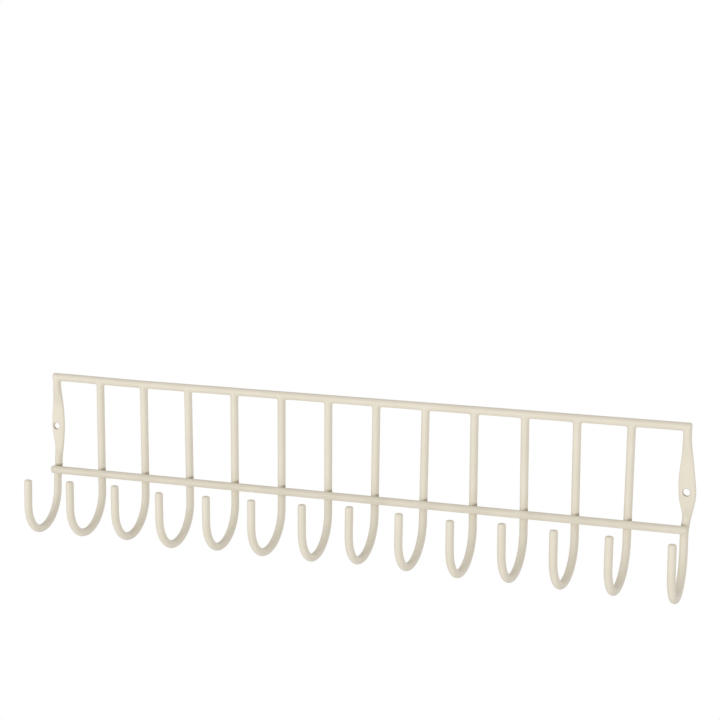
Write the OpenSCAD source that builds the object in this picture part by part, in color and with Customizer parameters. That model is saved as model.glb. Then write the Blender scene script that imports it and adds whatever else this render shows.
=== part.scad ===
// Wall coat rack of welded round wire: two rails, a row of J hooks, and an end hook
// on each side whose post is pressed flat into an ear with a screw hole.
// Millimetres, +X along the rack, -Y into the room, +Z up. The wall is the plane y = 0.
// z = 0 is the axis of the top rail, and x = 0 is the middle of the rack.

/* [Rack] */
// Number of hooks, with the two end hooks
hook_count = 14; // [4:1:24]
// Distance from one hook to the next
hook_pitch = 38.5; // [28:0.5:80]
// Distance from the last plain hook to the right end hook
last_pitch = 40.5; // [28:0.5:80]
// Distance between the axes of the two rails
rail_gap = 72.5; // [70:0.5:140]
// Diameter of the round wire
wire_d = 6; // [5:0.1:7]

/* [Rails] */
// Length of the top rail past the axis of each end post
top_overhang = 3.1; // [3:0.1:20]
// Length of the lower rail past the axis of each end post
lower_overhang = 3.7; // [3:0.1:20]
// Rounding of the top rail's ends
top_end_round = 0.8; // [0.2:0.1:2]
// Rounding of the lower rail's ends
lower_end_round = 1.7; // [0.2:0.1:2.2]

/* [Hooks] */
// Straight drop of the plain hooks from the lower rail's axis to the bend
hook_drop = 13.3; // [6:0.1:60]
// Straight drop of the two end hooks from the lower rail's axis to the bend
end_hook_drop = 14.5; // [6:0.1:60]
// Radius of the bend that leaves the wall
back_bend_r = 28.5; // [14:0.5:45]
// Radius of the bend that turns up to the tip
front_bend_r = 22.5; // [14:0.5:45]
// Turn of the front bend, where 90 leaves the tip upright
front_bend_angle = 90; // [60:1:110]
// Straight length of the plain hooks' tips
tip_len = 20.5; // [6:0.1:40]
// Straight length of the two end hooks' tips
end_tip_len = 20; // [6:0.1:40]
// Rounding of the tip's end
tip_round = 1.4; // [0.2:0.1:2.2]
// Turn of the two end hooks about their posts, in degrees
end_hook_turn = 3.5; // [-10:0.5:10]

/* [Welds] */
// Depth to which each post is welded into the lower rail
weld_set_down = 0.9; // [0.2:0.1:1.5]
// Radius of the weld fillets under the top rail
weld_fillet_r = 1.6; // [0.5:0.1:3]
// Width of those fillets from front to back
weld_fillet_w = 3; // [1:0.1:4]

/* [Pressed ears] */
// Thickness of the pressed ears
ear_t = 2.5; // [1.5:0.1:4]
// Diameter of the screw holes
screw_hole_d = 5.2; // [3:0.1:6]
// Width of the left ear at its widest
left_ear_w = 10.6; // [10:0.1:14]
// Drop from the top rail's axis to the left ear's widest place
left_ear_drop = 37; // [28:0.5:42]
// Drop from the top rail's axis to the left screw hole
left_hole_drop = 38.5; // [28:0.5:48]
// Shift of the left screw hole to the right of its post's axis
left_hole_shift = -1.3; // [-1.3:0.1:1.3]
// Width of the right ear at its widest
right_ear_w = 12.2; // [10:0.1:14]
// Drop from the top rail's axis to the right ear's widest place
right_ear_drop = 47.5; // [28:0.5:50]
// Drop from the top rail's axis to the right screw hole
right_hole_drop = 47; // [28:0.5:52]
// Shift of the right screw hole to the right of its post's axis
right_hole_shift = 0; // [-1.3:0.1:1.3]

/* [Hidden] */
$fn = 96;

wire_r = wire_d / 2;
overrun = 1;
cream = [0.90, 0.875, 0.80];

// Distance between the axes of the two end posts
span = (hook_count - 2) * hook_pitch + last_pitch;
// Axis of the posts and of the top rail, whose backs touch the wall
post_y = -wire_r;
// Axis of the lower rail, which lies in front of the posts
lower_rail_y = post_y - (wire_d - weld_set_down);
// The posts are coped to the top rail up to this share of its radius below its axis
cope_share = 0.3;

// Round wire left between the rails' axes and each pressed ear, and the lengths over
// which the wire is pressed from round to flat at the ear's head and foot
left_ear_head = 4.6;
left_ear_foot = 7;
left_press_in = 14;
left_press_out = 6;
right_ear_head = 6;
right_ear_foot = 6.5;
right_press_in = 14;
right_press_out = 12;
// The end rings of a pressed ear lie within the round wire by this share of its radius
ear_end_share = 0.985;
ear_sides = 24;
ear_rings = 32;

function post_x(i) = i == hook_count ? span / 2 : (i - 1) * hook_pitch - span / 2;

// Smooth step from 0 to 1 as v goes from start to end
function ease(v, start, end) =
    v <= start ? 0 : v >= end ? 1 : (1 - cos(180 * (v - start) / (end - start))) / 2;

// Outline of the pressed wire: two half rounds of radius b, spread to a half width of a,
// with flats at the front and back. No point lies on the centre line.
function ear_ring(a, b, y, z) =
    let (step = 360 / ear_sides, crown = sin(90 - step / 2))
    [for (k = [0 : ear_sides - 1])
        let (t = (k + 0.5) * step)
        [b * cos(t) + sign(cos(t)) * (a - b), y + b * sin(t) / crown, z]];

// Straight round bar along +Z with its far edge rounded
module round_bar(length, edge_r) {
    rotate_extrude() {
        square([wire_r, length - edge_r]);
        square([wire_r - edge_r, length]);
        translate([wire_r - edge_r, length - edge_r])
            intersection() {
                circle(edge_r);
                square(edge_r);
            }
    }
}

// Rail along X, with both ends rounded
module rail(half_length, edge_r) {
    rotate([0, 90, 0]) round_bar(half_length, edge_r);
    rotate([0, -90, 0]) round_bar(half_length, edge_r);
}

module place_top_rail() {
    translate([0, post_y, 0]) children();
}

module place_lower_rail() {
    translate([0, lower_rail_y, -rail_gap]) children();
}

module top_rail() {
    color(cream) place_top_rail() rail(span / 2 + top_overhang, top_end_round);
}

module lower_rail() {
    color(cream) place_lower_rail() rail(span / 2 + lower_overhang, lower_end_round);
}

// Room that the two rails take out of one post
module rail_cuts() {
    for (y_z = [[post_y, 0], [lower_rail_y, -rail_gap]])
        translate([0, y_z[0], y_z[1]])
            rotate([0, 90, 0])
                cylinder(r = wire_r, h = 2 * hook_pitch, center = true);
}

// Round wire from the top rail down to a pressed ear
module post_head(to) {
    translate([0, post_y, -to]) cylinder(r = wire_r, h = to - cope_share * wire_r);
}

// Arc of the wire in the local XY plane, from the angle start on through turn
module bend(radius, start, turn) {
    rotate([0, 0, start])
        rotate_extrude(angle = turn)
            translate([radius, 0]) circle(wire_r);
}

// The J below the straight post: a wide bend away from the wall, a tighter one up
// to the room side, and the straight tip
module bow(tip) {
    rotate([90, 0, 90])
        translate([-back_bend_r, 0, 0]) {
            bend(back_bend_r, -90, 90);
            translate([0, front_bend_r - back_bend_r, 0]) {
                bend(front_bend_r, -90 - front_bend_angle, front_bend_angle);
                rotate([0, 0, -90 - front_bend_angle])
                    translate([front_bend_r, 0, 0])
                        rotate([90, 0, 0]) round_bar(tip, tip_round);
            }
        }
}

// Round wire between two drops below the top rail's axis, with its bow at the lower
// one, all turned about the post's axis
module hook_wire(from, to, tip, turn = 0) {
    translate([0, post_y, -to])
        rotate([0, 0, turn]) {
            cylinder(r = wire_r, h = to - from);
            bow(tip);
        }
}

// Concave weld fillet between a post and the top rail, on the side that side gives
module weld_fillet(side) {
    translate([side * wire_r, post_y, -wire_r])
        rotate([90, 0, 0])
            linear_extrude(height = weld_fillet_w, center = true)
                mirror([side < 0 ? 1 : 0, 0])
                    difference() {
                        translate([-wire_r / 2, -weld_fillet_r])
                            square([wire_r / 2 + weld_fillet_r, weld_fillet_r + wire_r / 2]);
                        translate([weld_fillet_r, -weld_fillet_r]) circle(weld_fillet_r);
                    }
}

// Hook of plain round wire, with its post welded under the top rail
module plain_hook(i) {
    color(cream)
        translate([post_x(i), 0, 0])
            difference() {
                union() {
                    hook_wire(cope_share * wire_r, rail_gap + hook_drop, tip_len);
                    weld_fillet(1);
                    weld_fillet(-1);
                }
                rail_cuts();
            }
}

// Stretch of wire pressed flat against the wall plane, between two drops
module pressed_ear(width, head, widest, foot, press_in, press_out) {
    rings = [for (k = [0 : ear_rings])
        let (drop = head + (foot - head) * k / ear_rings,
             spread = min(ease(drop, head, widest), 1 - ease(drop, widest, foot)),
             press = min(ease(drop, head, head + press_in), 1 - ease(drop, foot - press_out, foot)),
             at_end = k == 0 || k == ear_rings,
             a = wire_r + spread * (width / 2 - wire_r),
             b = wire_r + press * (ear_t / 2 - wire_r))
        at_end ? ear_ring(wire_r * ear_end_share, wire_r * ear_end_share, post_y, -drop)
               : ear_ring(max(a, b), b, -b, -drop)];
    n = ear_sides;
    points = [for (ring = rings) each ring];
    walls = [for (k = [0 : ear_rings - 1], j = [0 : n - 1])
        let (p = k * n + j, q = k * n + (j + 1) % n)
        each [[p, q, q + n], [p, q + n, p + n]]];
    top = [for (j = [0 : n - 1]) n - 1 - j];
    bottom = [for (j = [0 : n - 1]) ear_rings * n + j];
    polyhedron(points = points, faces = concat([top], walls, [bottom]));
}

module screw_hole(drop, shift) {
    translate([shift, overrun, -drop])
        rotate([90, 0, 0]) cylinder(d = screw_hole_d, h = ear_t + 2 * overrun);
}

module left_end_hook() {
    head = left_ear_head;
    foot = rail_gap - left_ear_foot;
    color(cream)
        translate([post_x(1), 0, 0])
            difference() {
                union() {
                    post_head(head);
                    pressed_ear(left_ear_w, head, left_ear_drop, foot, left_press_in, left_press_out);
                    hook_wire(foot, rail_gap + end_hook_drop, end_tip_len, end_hook_turn);
                    weld_fillet(1);
                }
                rail_cuts();
                screw_hole(left_hole_drop, left_hole_shift);
            }
}

module right_end_hook() {
    head = right_ear_head;
    foot = rail_gap - right_ear_foot;
    color(cream)
        translate([post_x(hook_count), 0, 0])
            difference() {
                union() {
                    post_head(head);
                    pressed_ear(right_ear_w, head, right_ear_drop, foot, right_press_in, right_press_out);
                    hook_wire(foot, rail_gap + end_hook_drop, end_tip_len, end_hook_turn);
                    weld_fillet(-1);
                }
                rail_cuts();
                screw_hole(right_hole_drop, right_hole_shift);
            }
}

top_rail();
lower_rail();
left_end_hook();
for (i = [2 : hook_count - 1])
    plain_hook(i);
right_end_hook();
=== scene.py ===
# Wall coat rack of welded round wire under a cream powder coat, shown over a pale studio floor
import math

import bmesh
import bpy
from mathutils import Matrix, Vector


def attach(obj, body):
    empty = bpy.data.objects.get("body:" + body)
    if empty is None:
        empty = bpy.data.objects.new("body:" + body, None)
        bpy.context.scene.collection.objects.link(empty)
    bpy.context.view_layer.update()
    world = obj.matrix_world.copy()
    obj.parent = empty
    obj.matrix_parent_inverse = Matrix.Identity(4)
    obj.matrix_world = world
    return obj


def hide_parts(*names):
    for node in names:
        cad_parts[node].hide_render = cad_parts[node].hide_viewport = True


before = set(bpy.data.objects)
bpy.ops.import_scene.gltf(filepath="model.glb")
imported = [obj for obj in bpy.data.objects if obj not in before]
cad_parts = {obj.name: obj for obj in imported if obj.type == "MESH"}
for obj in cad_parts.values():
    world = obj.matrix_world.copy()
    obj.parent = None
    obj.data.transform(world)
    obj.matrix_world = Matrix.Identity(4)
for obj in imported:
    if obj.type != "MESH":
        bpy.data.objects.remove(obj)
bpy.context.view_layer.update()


# Camera. A long lens looks slightly down on the rack from its right,
# about a metre and a half away, and is held a touch off level.
SENSOR = 36.0
FOCAL_LENGTH = 97.39
CAMERA_PLACE = (0.52562, -1.33605, 0.21170)
AIM_LEFT = math.radians(21.36)
AIM_DOWN = math.radians(7.199)
ROLL = math.radians(1.162)
lens = bpy.data.cameras.new("camera")
lens.sensor_width = SENSOR
lens.lens = FOCAL_LENGTH
camera = bpy.data.objects.new("camera", lens)
bpy.context.scene.collection.objects.link(camera)
aim = Matrix.Rotation(AIM_LEFT, 4, "Z")
aim = aim @ Matrix.Rotation(math.pi / 2 - AIM_DOWN, 4, "X")
aim = aim @ Matrix.Rotation(ROLL, 4, "Z")
camera.matrix_world = Matrix.Translation(CAMERA_PLACE) @ aim
bpy.context.scene.camera = camera


# Top rail. A length of 6 mm round steel wire that the posts hang from, cropped square
# at both ends, with its edges broken before coating. Its back lies on the wall plane.
# The cream powder coat of the whole rack is made here.
MM = 0.001
WIRE_R = 3 * MM
SIDES = 40
RIM_STEPS = 5
SMOOTH_ANGLE = math.radians(40)
HOOKS = 14
PITCH = 38.5 * MM
LAST_PITCH = 40.5 * MM
SPAN = (HOOKS - 2) * PITCH + LAST_PITCH
POST_Y = -WIRE_R
TOP_OVERHANG = 3.1 * MM
TOP_END_ROUND = 0.8 * MM
TOP_SHIFT = -1.0 * MM

# How high the first weld drew up the rail's left end, and how far left of the middle of the
# rack that starts and is over
LIFT = 0.75 * MM
LIFT_FROM = 170 * MM
LIFT_TO = 255 * MM
LIFT_CUTS = 48


class Value:
    """A socket in the coat's nodes that Python's own signs can add, take away and scale"""

    def __init__(self, tree, socket=None):
        self.tree = tree
        self.socket = socket

    def make(self, kind, settings=None, sockets=None, output=0):
        node = self.tree.nodes.new(kind)
        for name, setting in (settings or {}).items():
            if name == "stops":
                stops = node.color_ramp.elements
                for stop, (place, colour) in zip(stops, setting):
                    stop.position = place
                    stop.color = colour
            else:
                setattr(node, name, setting)
        for name, given in (sockets or {}).items():
            if isinstance(given, Value):
                self.tree.links.new(given.socket, node.inputs[name])
            else:
                node.inputs[name].default_value = given
        return Value(self.tree, node.outputs[output] if len(node.outputs) else None)

    def maths(self, operation, first, second):
        return self.make("ShaderNodeMath", {"operation": operation}, {0: first, 1: second})

    def __add__(self, other):
        return self.maths("ADD", self, other)

    def __sub__(self, other):
        return self.maths("SUBTRACT", self, other)

    def __mul__(self, other):
        return self.maths("MULTIPLY", self, other)

    __radd__ = __add__


CREAM_LIGHT = (0.785, 0.725, 0.607)
CREAM_DARK = (0.75, 0.69, 0.565)
# Dark brown that painted shade mixes into the cream
PAINTED_SHADE_COLOUR = (0.36, 0.305, 0.205, 1)
FILM_PATCH = 35 * MM
PEEL_GRAIN = 1.3 * MM
POWDER_GRAIN = 0.22 * MM
PEEL_DEPTH = 0.09 * MM
SATIN = 0.36


def powder_coat(name, shade=1.0, painted_shade_mask=None):
    """Baked powder coat: a satin film with a fine orange peel, a little thicker here and there.
    shade scales its colour darker, and the mask given last says where shade is painted into
    the colour as a dark brown"""
    coat = bpy.data.materials.new(name)
    coat.use_nodes = True
    coat.node_tree.nodes.clear()
    start = Value(coat.node_tree)
    place = start.make("ShaderNodeTexCoord", output="Object")

    def cloud(size, detail):
        sockets = {"Vector": place, "Scale": 1 / size, "Detail": detail, "Roughness": 0.5}
        return start.make("ShaderNodeTexNoise", {}, sockets)

    film = cloud(FILM_PATCH, 2.0)
    peel = cloud(PEEL_GRAIN, 1.0)
    grain = cloud(POWDER_GRAIN, 2.0)
    dark = [shade * part for part in CREAM_DARK] + [1]
    light = [shade * part for part in CREAM_LIGHT] + [1]
    tone = start.make(
        "ShaderNodeValToRGB",
        {"stops": [(0.35, dark), (0.65, light)]},
        {"Fac": film * 0.8 + grain * 0.2},
    )
    roughness = SATIN + film * 0.08 + grain * 0.1
    # Painted shade: the mask mixes the cream toward a dark brown where shadow falls, and
    # roughens it a little
    if painted_shade_mask:
        shade_share = painted_shade_mask(start, place) * (0.7 + peel * 0.6)
        sockets = {0: shade_share, 6: tone, 7: PAINTED_SHADE_COLOUR}
        tone = start.make("ShaderNodeMix", {"data_type": "RGBA"}, sockets, output=2)
        roughness = roughness + shade_share * 0.15
    height = peel * 0.75 + grain * 0.25
    bump = start.make(
        "ShaderNodeBump", {}, {"Strength": 1.0, "Distance": PEEL_DEPTH, "Height": height}
    )
    surface = start.make(
        "ShaderNodeBsdfPrincipled",
        {},
        {
            "Base Color": tone,
            "Roughness": roughness,
            "Normal": bump,
            "IOR": 1.5,
            "Coat Weight": 0.12,
            "Coat Roughness": 0.3,
        },
    )
    start.make("ShaderNodeOutputMaterial", {}, {"Surface": surface})
    return coat


def finish_piece(piece, name, coat):
    """Names a piece and its mesh, gives it its coat and lets it ride on the rack"""
    piece.name = name
    piece.data.name = name
    piece.data.materials.clear()
    piece.data.materials.append(coat)
    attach(piece, "root")


def pick(piece, kind, wanted):
    """Selects those faces or edges of the piece in edit mode that pass a test"""
    bpy.ops.mesh.select_all(action="DESELECT")
    shape = bmesh.from_edit_mesh(piece.data)
    for part in getattr(shape, kind):
        part.select = wanted(part)
    bmesh.update_edit_mesh(piece.data)


def ease(value, start, end):
    """Smooth step from 0 to 1 as the value goes from start to end"""
    share = min(max((value - start) / (end - start), 0), 1)
    return (1 - math.cos(math.pi * share)) / 2


def top_lift(x):
    """How high the top rail is drawn up at a place along the rack"""
    return LIFT * ease(-x, LIFT_FROM, LIFT_TO)


def rail(name, coat, x, y, z, half_length, edge_round):
    """Straight bar along the rack, modelled as a cylinder whose two rims are bevelled"""
    bpy.ops.object.select_all(action="DESELECT")
    bpy.ops.mesh.primitive_cylinder_add(
        vertices=SIDES,
        radius=WIRE_R,
        depth=2 * half_length,
        location=(x, y, z),
        rotation=(0, math.pi / 2, 0),
    )
    bar = bpy.context.object
    bpy.ops.object.transform_apply(location=True, rotation=True, scale=True)
    bpy.ops.object.mode_set(mode="EDIT")
    pick(bar, "faces", lambda face: abs(face.normal.x) > 0.9)
    bpy.ops.mesh.bevel(offset=edge_round, segments=RIM_STEPS, affect="EDGES")
    bpy.ops.object.mode_set(mode="OBJECT")
    bpy.ops.object.shade_smooth_by_angle(angle=SMOOTH_ANGLE)
    finish_piece(bar, name, coat)
    return bar


top_bar = rail(
    "top_rail_bar",
    powder_coat("cream_coat_on_top_rail"),
    TOP_SHIFT,
    POST_Y,
    0,
    SPAN / 2 + TOP_OVERHANG,
    TOP_END_ROUND,
)
bpy.ops.object.mode_set(mode="EDIT")
pick(top_bar, "edges", lambda edge: edge.calc_length() > SPAN / 2)
bpy.ops.mesh.subdivide(number_cuts=LIFT_CUTS)
bpy.ops.object.mode_set(mode="OBJECT")
for vertex in top_bar.data.vertices:
    vertex.co.z += top_lift(vertex.co.x)
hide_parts("top_rail")


# Lower rail. A second length of the same wire that crosses in front of the posts
# and is pressed 0.9 mm into each of them while it is welded. Its ends are rounder,
# and its colour is scaled a little darker.
LOWER_SHADE = 0.96
RAIL_GAP = 72.5 * MM
SET_DOWN = 0.9 * MM
LOWER_Y = POST_Y - (2 * WIRE_R - SET_DOWN)
LOWER_OVERHANG = 3.3 * MM
LOWER_END_ROUND = 1.7 * MM
LOWER_SHIFT = 0.4 * MM
lower_bar = rail(
    "lower_rail_bar",
    powder_coat("cream_coat_on_lower_rail", shade=LOWER_SHADE),
    LOWER_SHIFT,
    LOWER_Y,
    -RAIL_GAP,
    SPAN / 2 + LOWER_OVERHANG,
    LOWER_END_ROUND,
)
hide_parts("lower_rail")


# Plain hooks. Twelve lengths of round wire butt against the top rail, run down
# behind the lower rail and are bent in a jig: a wide bend away from the wall, a
# tighter one up to the room, and a cropped tip with broken edges.
BACK_R = 28.5 * MM
BACK_STEPS = 18
FRONT_R = 22.5 * MM
FRONT_STEPS = 16
HOOK_DROP = 13.3 * MM
TIP = 20.5 * MM
TIP_ROUND = 1.4 * MM
POST_HEAD = 1.2 * MM
BEND_DROP = 80 * MM
HAIR = 0.001 * MM

# How each hook was set by hand, from the left: how far its post stands to the right at the
# top rail and at the bend, how much longer its drop and its tip are, all in millimetres,
# and its turn to the right in degrees
STANCE = [
    (-1.2, -0.4, -0.5, -0.4, 4.0),
    (-0.9, 1.1, 0.2, 0.5, 0.3),
    (-1.2, 1.0, -0.7, -0.1, 0.7),
    (-1.5, 1.1, 1.7, 0.4, -0.6),
    (-0.8, 1.1, -0.2, -0.8, 0.0),
    (0.1, 1.5, 0.2, 0.2, -2.3),
    (-0.2, 1.2, 0.2, 0.6, 0.3),
    (-0.2, 0.2, -1.5, 0.8, -0.3),
    (0.0, 0.0, -0.5, 0.4, -0.4),
    (-0.8, 0.1, 0.5, 0.1, -0.4),
    (-1.1, 0.2, -0.2, 0.9, -0.8),
    (-1.0, -0.1, 0.5, 0.5, -1.5),
    (0.1, -0.4, 0.8, 0.4, -0.2),
    (-0.6, -0.1, 0.6, 0.6, 3.2),
]


def post_x(number, drop=0):
    """Place of a hook's post along the rack, at a drop below the top rail's axis"""
    even = SPAN / 2 if number == HOOKS else (number - 1) * PITCH - SPAN / 2
    at_top, at_bend = (value * MM for value in STANCE[number - 1][:2])
    return even + at_top + (at_bend - at_top) * drop / BEND_DROP


def set_hook(hook, number):
    """Turns a hook's bow to its side, then leans the hook into its place in the rack"""
    axis = Vector((0, POST_Y, 0))
    turn = Matrix.Rotation(math.radians(STANCE[number - 1][4]), 3, "Z")
    for vertex in hook.data.vertices:
        if -vertex.co.z > RAIL_GAP - WIRE_R:
            vertex.co = turn @ (vertex.co - axis) + axis
        vertex.co.x += post_x(number, -vertex.co.z)


def bend_wire(stations, drop, tip):
    """One hook on x = 0: a disc is extruded down the stations, spun round both bends and
    extruded up to the tip, whose rim is bevelled"""
    bpy.ops.object.select_all(action="DESELECT")
    bpy.ops.mesh.primitive_circle_add(
        vertices=SIDES, radius=WIRE_R, fill_type="NGON", location=(0, POST_Y, -stations[0])
    )
    wire = bpy.context.object
    bpy.ops.object.transform_apply(location=True, rotation=True, scale=True)
    bpy.ops.object.mode_set(mode="EDIT")
    bpy.ops.mesh.select_all(action="SELECT")
    for above, below in zip(stations, stations[1:] + [drop]):
        bpy.ops.mesh.extrude_region_move(
            TRANSFORM_OT_translate={"value": (0, 0, above - below)}
        )
    bends = ((BACK_STEPS, -drop), (FRONT_STEPS, -drop - BACK_R + FRONT_R))
    for steps, height in bends:
        bpy.ops.mesh.spin(
            steps=steps,
            angle=math.pi / 2,
            center=(0, POST_Y - BACK_R, height),
            axis=(1, 0, 0),
        )
    bpy.ops.mesh.extrude_region_move(TRANSFORM_OT_translate={"value": (0, 0, tip)})
    bpy.ops.mesh.bevel(offset=TIP_ROUND, segments=RIM_STEPS, affect="EDGES")
    bpy.ops.mesh.select_all(action="SELECT")
    bpy.ops.mesh.remove_doubles(threshold=HAIR)
    bpy.ops.mesh.normals_make_consistent(inside=False)
    bpy.ops.object.mode_set(mode="OBJECT")
    return wire


# Beside the lower rail the share of painted shade grows from none to whole between the
# two values of each pair: heights above the rail's axis, then places in front of the wall,
# and last how much the surface faces the wall
CREVICE_SHADE_TOP = (6.2 * MM, 2.8 * MM)
CREVICE_SHADE_FOOT = (-1 * MM, 1 * MM)
CREVICE_SHADE_BACK = (-1 * MM, -3 * MM)
CREVICE_SHADE_FRONT = (-7.8 * MM, -6.8 * MM)
CREVICE_SHADE_FACING = (0.4, 0)
CREVICE_SHADE_LEAST = 0.12

# At a screw hole the painted shade starts this far outside the edge, and inside it grows from
# a little in the upper half to most at the floor, between these heights over the hole's axis
HOLE_EDGE = 0.3 * MM
HOLE_FLOOR = (-0.3 * MM, -2.5 * MM)
HOLE_TOP_SHARE = 0.1
HOLE_FLOOR_SHARE = 0.75


def painted_shade_places(unshaded_facing, shaded_facing, most=1.0, hole=None):
    """Builds the share of painted shade. It darkens the narrow corner between a post and the
    lower rail, from none where the surface faces as far right as the first value to most at the
    second, and the inside of a screw hole, which is given as its radius and the place of its
    centre"""

    def painted_shade_mask(start, place):
        def part(vector, axis):
            return start.make("ShaderNodeSeparateXYZ", {}, {"Vector": vector}, output=axis)

        def step(value, none, full):
            sockets = {"Value": value, "From Min": none, "From Max": full}
            return start.make(
                "ShaderNodeMapRange", {"interpolation_type": "SMOOTHSTEP"}, sockets
            )

        y = part(place, "Y")
        z = part(place, "Z")
        height = z + RAIL_GAP
        facing = start.make("ShaderNodeTexCoord", output="Normal")
        above = step(height, *CREVICE_SHADE_TOP)
        below = step(height, *CREVICE_SHADE_FOOT)
        front = step(y, *CREVICE_SHADE_BACK) * step(y, *CREVICE_SHADE_FRONT)
        front = front * step(part(facing, "Y"), *CREVICE_SHADE_FACING)
        side = step(part(facing, "X"), unshaded_facing, shaded_facing) * (1 - CREVICE_SHADE_LEAST) + CREVICE_SHADE_LEAST
        corner = above * above * below * front * side * most
        if hole is None:
            return corner
        # Painted shade inside the screw hole, a little at its top and most at its floor
        radius, hole_x, hole_z = hole
        beside = part(place, "X") - hole_x
        over = z - hole_z
        inside = step(beside * beside + over * over, (radius + HOLE_EDGE) ** 2, radius**2)
        return corner + inside * (step(over, *HOLE_FLOOR) * HOLE_FLOOR_SHARE + HOLE_TOP_SHARE)

    return painted_shade_mask


# The posts' coat has shade painted into the crevice above the lower rail
plain_coat = powder_coat("cream_coat_on_posts", painted_shade_mask=painted_shade_places(-0.4, 1.0))

for number in range(2, HOOKS):
    longer, tip_longer = (value * MM for value in STANCE[number - 1][2:4])
    stations = [POST_HEAD - top_lift(post_x(number)), RAIL_GAP - WIRE_R]
    hook = bend_wire(stations, RAIL_GAP + HOOK_DROP + longer, TIP + tip_longer)
    set_hook(hook, number)
    bpy.ops.object.shade_smooth_by_angle(angle=SMOOTH_ANGLE)
    finish_piece(hook, f"hook_{number}_wire", plain_coat)
    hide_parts(f"hook_{number}")


# End hooks. The two outer posts are pressed between dies into ears 2.5 mm thick,
# back to the wall plane, and pierced for the wall screws. The left ear is long and
# even, the right one spoon-shaped, and both bows sit a few degrees round.
END_DROP = 14.5 * MM
END_TIP = 20 * MM
EAR_T = 2.5 * MM
EAR_RINGS = 44
HOLE_R = 2.6 * MM
HOLE_LIP = 0.35 * MM
LIP_STEPS = 4

# Drop of each screw hole below the top rail's axis, and its shift to the right of the post's
LEFT_HOLE = (38.5 * MM, -1.3 * MM)
RIGHT_HOLE = (46.6 * MM, -0.5 * MM)

# How far the press pushed the foot of each ear to the right, and the drops where that is
# most and where it is over, and the drop where it starts
EAR_SET = {1: (1.1 * MM, 68 * MM, 82 * MM), HOOKS: (1.6 * MM, 60 * MM, 78 * MM)}
EAR_SET_FROM = 30 * MM
SET_RINGS = 10


def ear_set(number, drop):
    """Sideways set of an end post at a drop below the top rail's axis"""
    if number not in EAR_SET:
        return 0
    most, place, end = EAR_SET[number]
    return most * min(ease(drop, EAR_SET_FROM, place), 1 - ease(drop, place, end))


def end_hook(number, width, head, spread_from, widest, foot, press_in, press_out, hole):
    """A hook whose post is spread and flattened between head and foot, then pierced. Each of
    the ear's two edges is widest at its own drop"""
    stations = [POST_HEAD - top_lift(post_x(number))]
    stations += [head + (foot - head) * ring / EAR_RINGS for ring in range(EAR_RINGS + 1)]
    set_end = EAR_SET[number][2]
    stations += [foot + (set_end - foot) * ring / SET_RINGS for ring in range(1, SET_RINGS + 1)]
    longer, tip_longer = (value * MM for value in STANCE[number - 1][2:4])
    hook = bend_wire(stations, RAIL_GAP + END_DROP + longer, END_TIP + tip_longer)
    for vertex in hook.data.vertices:
        x, y, z = vertex.co
        if head < -z < foot:
            belly = widest[x > 0]
            spread = min(ease(-z, spread_from, belly), 1 - ease(-z, belly, foot))
            press = min(ease(-z, head, head + press_in), 1 - ease(-z, foot - press_out, foot))
            half_width = WIRE_R + spread * (width / 2 - WIRE_R)
            half_depth = WIRE_R + press * (EAR_T / 2 - WIRE_R)
            side = math.copysign(1, x) if abs(x) > HAIR else 0
            flat = max(half_width - half_depth, 0)
            vertex.co.x = x * half_depth / WIRE_R + side * flat
            vertex.co.y = (y - POST_Y) * half_depth / WIRE_R - half_depth

    punch = ear_punch(*hole)
    bpy.context.view_layer.objects.active = hook
    cut = hook.modifiers.new("hole", "BOOLEAN")
    cut.object = punch
    bpy.ops.object.modifier_apply(modifier=cut.name)
    bpy.data.objects.remove(punch)
    hook.select_set(True)
    bpy.ops.object.mode_set(mode="EDIT")
    bpy.ops.mesh.select_all(action="SELECT")
    bpy.ops.mesh.dissolve_degenerate(threshold=HAIR)
    bpy.ops.object.mode_set(mode="OBJECT")

    # Only the post is set over, not the tip, which stands in front of the lower rail
    for vertex in hook.data.vertices:
        if vertex.co.y > LOWER_Y:
            vertex.co.x += ear_set(number, -vertex.co.z)
    set_hook(hook, number)
    bpy.ops.object.shade_smooth_by_angle(angle=SMOOTH_ANGLE)
    return hook


def ear_punch(drop, x):
    """Punch for a screw hole: a round bar across the ear that flares at both faces, where
    the coat rounds the rims"""
    bpy.ops.object.select_all(action="DESELECT")
    bpy.ops.mesh.primitive_cylinder_add(
        vertices=SIDES,
        radius=HOLE_R,
        depth=EAR_T - 2 * HOLE_LIP,
        location=(x, -EAR_T / 2, -drop),
        rotation=(math.pi / 2, 0, 0),
    )
    punch = bpy.context.object
    bpy.ops.object.transform_apply(location=True, rotation=True, scale=True)
    bpy.ops.object.mode_set(mode="EDIT")
    for outward in (-1, 1):
        pick(punch, "faces", lambda face: face.normal.y * outward > 0.9)
        radius = HOLE_R
        depth = HOLE_LIP
        for step in range(1, LIP_STEPS + 1):
            turn = math.pi / 2 * step / LIP_STEPS
            wider = HOLE_R + HOLE_LIP * (1 - math.cos(turn))
            shallower = HOLE_LIP * (1 - math.sin(turn))
            bpy.ops.mesh.extrude_region_move(
                TRANSFORM_OT_translate={"value": (0, outward * (depth - shallower), 0)}
            )
            bpy.ops.transform.resize(
                value=(wider / radius, 1, wider / radius), center_override=(x, 0, -drop)
            )
            radius = wider
            depth = shallower
        bpy.ops.mesh.extrude_region_move(
            TRANSFORM_OT_translate={"value": (0, outward * HOLE_LIP, 0)}
        )
    bpy.ops.mesh.select_all(action="SELECT")
    bpy.ops.mesh.normals_make_consistent(inside=False)
    bpy.ops.object.mode_set(mode="OBJECT")
    return punch


def hole_place(number, hole):
    """Radius of a screw hole, and its centre in the finished rack, for the painted shade inside
    it
    """
    drop, shift = hole
    return HOLE_R, shift + ear_set(number, drop) + post_x(number, drop), -drop


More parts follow.
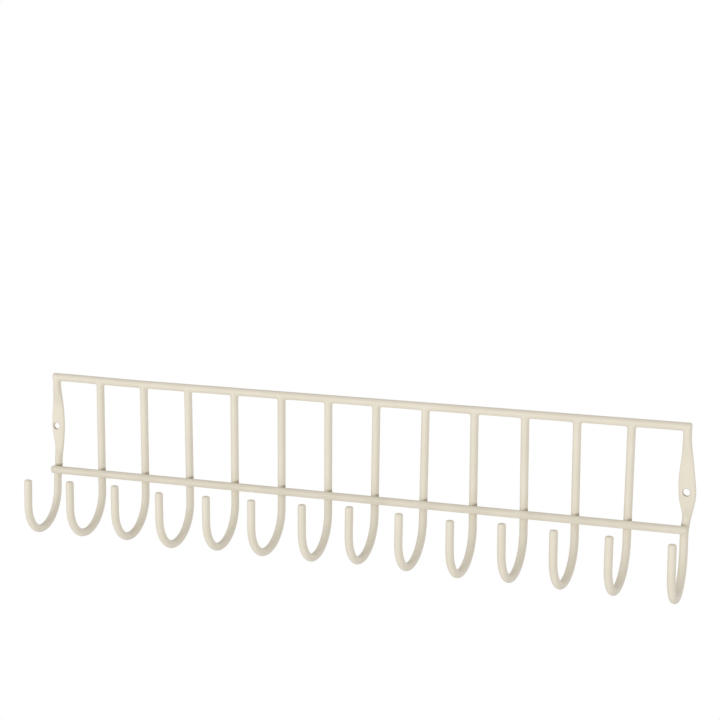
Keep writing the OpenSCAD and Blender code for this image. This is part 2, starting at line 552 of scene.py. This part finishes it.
left_hook = end_hook(
    number=1,
    width=10.9 * MM,
    head=4.6 * MM,
    spread_from=1.2 * MM,
    widest=(37 * MM, 36 * MM),
    foot=RAIL_GAP - 7 * MM,
    press_in=20 * MM,
    press_out=12 * MM,
    hole=LEFT_HOLE,
)
# The left post's coat has shade painted into the crevice above the lower rail and inside its
# screw hole
left_coat = powder_coat(
    "cream_coat_on_left_post",
    painted_shade_mask=painted_shade_places(-1.3, 0.5, hole=hole_place(1, LEFT_HOLE)),
)
finish_piece(left_hook, "left_end_hook_wire", left_coat)
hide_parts("left_end_hook")
right_hook = end_hook(
    number=HOOKS,
    width=12.6 * MM,
    head=6 * MM,
    spread_from=4 * MM,
    widest=(50 * MM, 44.5 * MM),
    foot=RAIL_GAP - 5.7 * MM,
    press_in=20 * MM,
    press_out=12 * MM,
    hole=RIGHT_HOLE,
)
# The right post's coat has shade painted into the crevice above the lower rail and inside its
# screw hole
right_coat = powder_coat(
    "cream_coat_on_right_post",
    painted_shade_mask=painted_shade_places(0.9, -0.6, most=0.7, hole=hole_place(HOOKS, RIGHT_HOLE)),
)
finish_piece(right_hook, "right_end_hook_wire", right_coat)
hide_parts("right_end_hook")


# Welds. Each post is resistance-welded under the top rail and behind the lower rail.
# The hot wires sink into each other and a small bead fills the corners, which the
# powder coat rounds further.
WELD_REACH = 6.5 * MM
WELD_END_REACH = 2.4 * MM
WELD_VOXEL = 0.3 * MM
WELD_SMOOTHING = {"top": 130, "lower": 60}
WELD_SWELL = {"top": 0.13 * MM, "lower": 0.08 * MM}


def weld_bead(row, rail_y, rail_z, rail_from, rail_to, post_top, post_bottom):
    """Short stubs of the two wires that meet, grown together and smoothed until the corners
    between them are filled and all else has sunk just below the wires' surface"""
    bpy.ops.object.select_all(action="DESELECT")
    bpy.ops.mesh.primitive_cylinder_add(
        vertices=SIDES,
        radius=WIRE_R,
        depth=rail_to - rail_from,
        location=((rail_from + rail_to) / 2, rail_y, rail_z),
        rotation=(0, math.pi / 2, 0),
    )
    rail_stub = bpy.context.object
    bpy.ops.mesh.primitive_cylinder_add(
        vertices=SIDES,
        radius=WIRE_R,
        depth=post_top - post_bottom,
        location=(0, POST_Y, (post_top + post_bottom) / 2),
    )
    rail_stub.select_set(True)
    bpy.ops.object.join()
    bead = bpy.context.object
    bpy.ops.object.transform_apply(location=True, rotation=True, scale=True)
    grow = bead.modifiers.new("grow", "REMESH")
    grow.mode = "VOXEL"
    grow.voxel_size = WELD_VOXEL
    melt = bead.modifiers.new("melt", "SMOOTH")
    melt.factor = 0.5
    melt.iterations = WELD_SMOOTHING[row]
    swell = bead.modifiers.new("swell", "DISPLACE")
    swell.mid_level = 0
    swell.strength = WELD_SWELL[row]
    for modifier in (grow, melt, swell):
        bpy.ops.object.modifier_apply(modifier=modifier.name)
    bpy.ops.object.shade_smooth()
    return bead


# Hooks whose beads are alike, their coat, and the stretch of rail that the beads cover
bead_kinds = (
    ([1], left_coat, -WELD_END_REACH, WELD_REACH),
    (range(2, HOOKS), plain_coat, -WELD_REACH, WELD_REACH),
    ([HOOKS], right_coat, -WELD_REACH, WELD_END_REACH),
)
for numbers, bead_coat, rail_from, rail_to in bead_kinds:
    top_bead = weld_bead("top", POST_Y, 0, rail_from, rail_to, 0, -WELD_REACH)
    lower_bead = weld_bead(
        "lower",
        LOWER_Y,
        -RAIL_GAP,
        rail_from,
        rail_to,
        -RAIL_GAP + WELD_REACH,
        -RAIL_GAP - WELD_REACH,
    )
    for row, bead in (("top", top_bead), ("lower", lower_bead)):
        for number in numbers:
            weld = bpy.data.objects.new(f"{row}_weld_{number}", bead.data.copy())
            bpy.context.scene.collection.objects.link(weld)
            for vertex in weld.data.vertices:
                drop = -vertex.co.z
                vertex.co.x += post_x(number, drop) + ear_set(number, drop)
                if row == "top":
                    vertex.co.z += top_lift(vertex.co.x)
            finish_piece(weld, weld.name, bead_coat)
        bpy.data.objects.remove(bead)


# Studio. The rack hangs clear above a plain pale floor in an even pale surround. Broad soft
# lights stand to both sides of it, with a weaker one in front and a large one behind.
FLOOR_SIZE = 3.0
FLOOR_DROP = 2.5
RACK_MIDDLE = Vector((0, 0, -0.05))
SURROUND_SEEN = 1.0
SURROUND_CAST = 0.574
bpy.ops.mesh.primitive_plane_add(size=FLOOR_SIZE, location=(0, 0, -FLOOR_DROP))
floor = bpy.context.object
floor.name = "studio_floor"
pale = bpy.data.materials.new("pale_floor")
pale.use_nodes = True
pale.node_tree.nodes.clear()
paint = Value(pale.node_tree)
white_paint = paint.make(
    "ShaderNodeBsdfPrincipled",
    {},
    {
        "Base Color": (0.9, 0.9, 0.89, 1),
        "Roughness": 0.85,
        "Emission Color": (1, 1, 1, 1),
        "Emission Strength": 0.4,
    },
)
paint.make("ShaderNodeOutputMaterial", {}, {"Surface": white_paint})
floor.data.materials.append(pale)


def soft_light(name, place, size, power):
    """A square soft box that faces the rack"""
    lamp = bpy.data.lights.new(name, "AREA")
    lamp.size = size
    lamp.energy = power
    box = bpy.data.objects.new(name, lamp)
    bpy.context.scene.collection.objects.link(box)
    toward = RACK_MIDDLE - Vector(place)
    facing = toward.to_track_quat("-Z", "Y").to_matrix().to_4x4()
    box.matrix_world = Matrix.Translation(place) @ facing


soft_light("left_light", (-1.6, -1.6, 0.1), 1.5, 13.0)
soft_light("right_light", (1.6, -1.6, 0.1), 1.5, 12.0)
soft_light("front_light", (-0.25, -2.5, -0.1), 1.0, 8.8)
soft_light("back_light", (0.9, 2.0, 0.3), 3.0, 9.2)

world = bpy.data.worlds.new("surround")
bpy.context.scene.world = world
world.use_nodes = True
world.node_tree.nodes.clear()
sky = Value(world.node_tree)
white = {"Color": (1, 1, 1, 1)}
seen = sky.make("ShaderNodeBackground", {}, white | {"Strength": SURROUND_SEEN})
cast = sky.make("ShaderNodeBackground", {}, white | {"Strength": SURROUND_CAST})
path = sky.make("ShaderNodeLightPath", output="Is Camera Ray")
both = sky.make("ShaderNodeMixShader", {}, {0: path, 1: cast, 2: seen})
sky.make("ShaderNodeOutputWorld", {}, {"Surface": both})
bpy.context.scene.view_settings.view_transform = "Standard"
